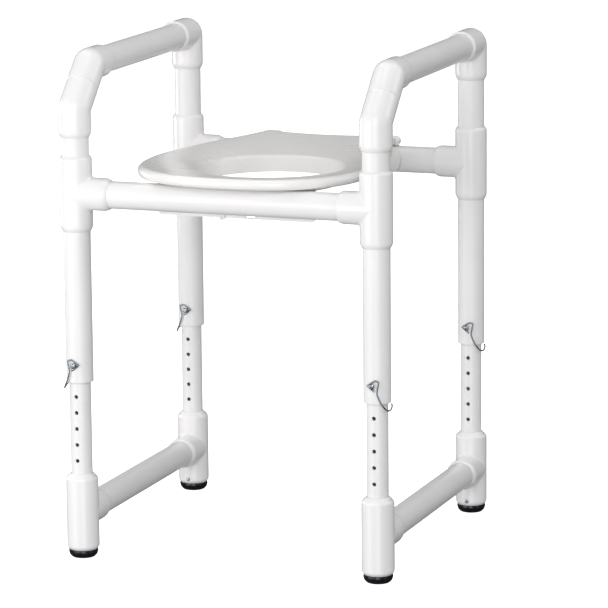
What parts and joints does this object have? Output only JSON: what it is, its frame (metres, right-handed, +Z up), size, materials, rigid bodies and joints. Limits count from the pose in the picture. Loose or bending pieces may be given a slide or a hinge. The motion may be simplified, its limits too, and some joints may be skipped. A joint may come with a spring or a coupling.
{
  "type": "raised toilet seat",
  "caption": "Raised toilet seat on a free-standing frame of plastic pipe with arm rails, a lift-up dished seat and height-adjustable legs locked by pins with wire clips.",
  "frame": {"origin": "on the floor, at the bottom centre of the whole object's box", "axes": "+Z up, the front of the seat faces -Y, +X to the right of somebody who looks at it from the front"},
  "size_m": [0.5374, 0.5296, 0.7917],
  "materials": {
    "pvc": "smooth warm-white pipe and fittings with a soft gloss",
    "seat_plastic": "smooth white moulding with a soft gloss",
    "glide": "black moulding with a low sheen",
    "steel": "bright drawn wire and pins"
  },
  "bodies": {
    "frame": {"front_crossbar": "pvc", "back_crossbar": "pvc", "front_elbow_lower_left": "pvc", "front_elbow_upper_left": "pvc", "back_elbow_left": "pvc", "front_post_left": "pvc", "back_post_left": "pvc", "arm_rail_left": "pvc", "hinge_clamp_left": "seat_plastic", "hinge_pin_left": "steel", "seat_tee_front_left": "pvc", "outer_leg_front_left": "pvc", "seat_tee_back_left": "pvc", "outer_leg_back_left": "pvc", "front_elbow_lower_right": "pvc", "front_elbow_upper_right": "pvc", "back_elbow_right": "pvc", "front_post_right": "pvc", "back_post_right": "pvc", "arm_rail_right": "pvc", "hinge_clamp_right": "seat_plastic", "hinge_pin_right": "steel", "seat_tee_front_right": "pvc", "outer_leg_front_right": "pvc", "seat_tee_back_right": "pvc", "outer_leg_back_right": "pvc"},
    "seat": {"seat": "seat_plastic", "guard_plate": "seat_plastic", "guard_knob": "seat_plastic"},
    "left_leg_unit": {"inner_leg_front_left": "pvc", "lower_tee_front_left": "pvc", "leg_bushing_front_left": "pvc", "glide_foot_front_left": "glide", "glide_screw_front_left": "steel", "inner_leg_back_left": "pvc", "lower_tee_back_left": "pvc", "leg_bushing_back_left": "pvc", "glide_foot_back_left": "glide", "glide_screw_back_left": "steel", "side_brace_left": "pvc"},
    "lock_pin_front_left": {"lock_pin_front_left": "steel"},
    "wire_clip_front_left": {"wire_clip_front_left": "steel"},
    "lock_pin_back_left": {"lock_pin_back_left": "steel"},
    "wire_clip_back_left": {"wire_clip_back_left": "steel"},
    "right_leg_unit": {"inner_leg_front_right": "pvc", "lower_tee_front_right": "pvc", "leg_bushing_front_right": "pvc", "glide_foot_front_right": "glide", "glide_screw_front_right": "steel", "inner_leg_back_right": "pvc", "lower_tee_back_right": "pvc", "leg_bushing_back_right": "pvc", "glide_foot_back_right": "glide", "glide_screw_back_right": "steel", "side_brace_right": "pvc"},
    "lock_pin_front_right": {"lock_pin_front_right": "steel"},
    "wire_clip_front_right": {"wire_clip_front_right": "steel"},
    "lock_pin_back_right": {"lock_pin_back_right": "steel"},
    "wire_clip_back_right": {"wire_clip_back_right": "steel"}
  },
  "joints": [
    {"name": "seat_lift", "type": "hinge", "parent": "frame", "child": "seat", "pos_m": [0, 0.23775, 0.6045], "axis": [-1, 0, 0], "range_deg": [0, 100]},
    {"name": "left_leg_height", "type": "slide", "parent": "frame", "child": "left_leg_unit", "axis": [0, 0, 1], "range_m": [-0.0254, 0.127]},
    {"name": "right_leg_height", "type": "slide", "parent": "frame", "child": "right_leg_unit", "axis": [0, 0, 1], "range_m": [-0.0254, 0.127]},
    {"name": "lock_pin_front_left_pull", "type": "slide", "parent": "frame", "child": "lock_pin_front_left", "axis": [0, -1, 0], "range_m": [0, 0.06]},
    {"name": "wire_clip_front_left_swing", "type": "hinge", "parent": "lock_pin_front_left", "child": "wire_clip_front_left", "pos_m": [-0.2435, -0.22325, 0.309], "axis": [0, 1, 0], "range_deg": [0, 100]},
    {"name": "lock_pin_back_left_pull", "type": "slide", "parent": "frame", "child": "lock_pin_back_left", "axis": [0, -1, 0], "range_m": [0, 0.06]},
    {"name": "wire_clip_back_left_swing", "type": "hinge", "parent": "lock_pin_back_left", "child": "wire_clip_back_left", "pos_m": [-0.2435, 0.23775, 0.309], "axis": [0, 1, 0], "range_deg": [0, 100]},
    {"name": "lock_pin_front_right_pull", "type": "slide", "parent": "frame", "child": "lock_pin_front_right", "axis": [0, -1, 0], "range_m": [0, 0.06]},
    {"name": "wire_clip_front_right_swing", "type": "hinge", "parent": "lock_pin_front_right", "child": "wire_clip_front_right", "pos_m": [0.2435, -0.22325, 0.309], "axis": [0, -1, 0], "range_deg": [0, 100]},
    {"name": "lock_pin_back_right_pull", "type": "slide", "parent": "frame", "child": "lock_pin_back_right", "axis": [0, -1, 0], "range_m": [0, 0.06]},
    {"name": "wire_clip_back_right_swing", "type": "hinge", "parent": "lock_pin_back_right", "child": "wire_clip_back_right", "pos_m": [0.2435, 0.23775, 0.309], "axis": [0, -1, 0], "range_deg": [0, 100]}
  ]
}
